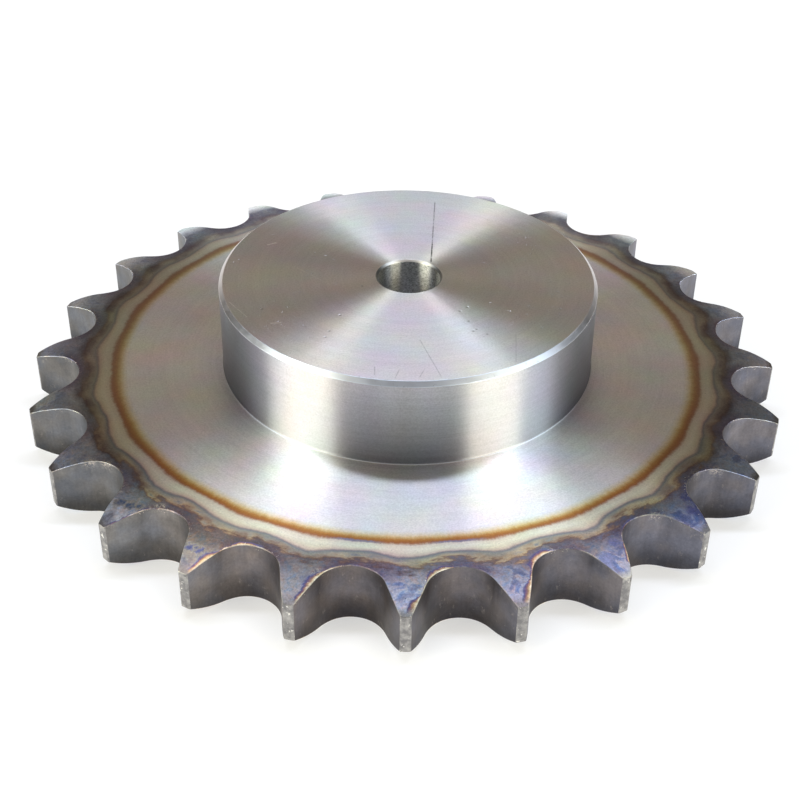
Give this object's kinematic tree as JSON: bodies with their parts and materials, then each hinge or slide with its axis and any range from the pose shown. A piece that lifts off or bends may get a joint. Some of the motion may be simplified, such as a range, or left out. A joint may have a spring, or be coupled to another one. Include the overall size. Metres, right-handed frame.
{
  "type": "roller chain sprocket",
  "caption": "One-piece steel sprocket for a heavy single-strand roller chain: a flat toothed plate with a round hub on one side and a small plain bore.",
  "frame": {"origin": "on the bore's axis, in the plate's flat back face", "axes": "+Z along the bore, from the back face towards the hub; one tooth points to -Y"},
  "size_m": [0.3052, 0.3052, 0.0607],
  "materials": {
    "steel": "turned steel faces, hobbed tooth gaps, straw and blue heat tint round the teeth"
  },
  "bodies": {
    "root": {"sprocket": "steel"}
  },
  "joints": []
}
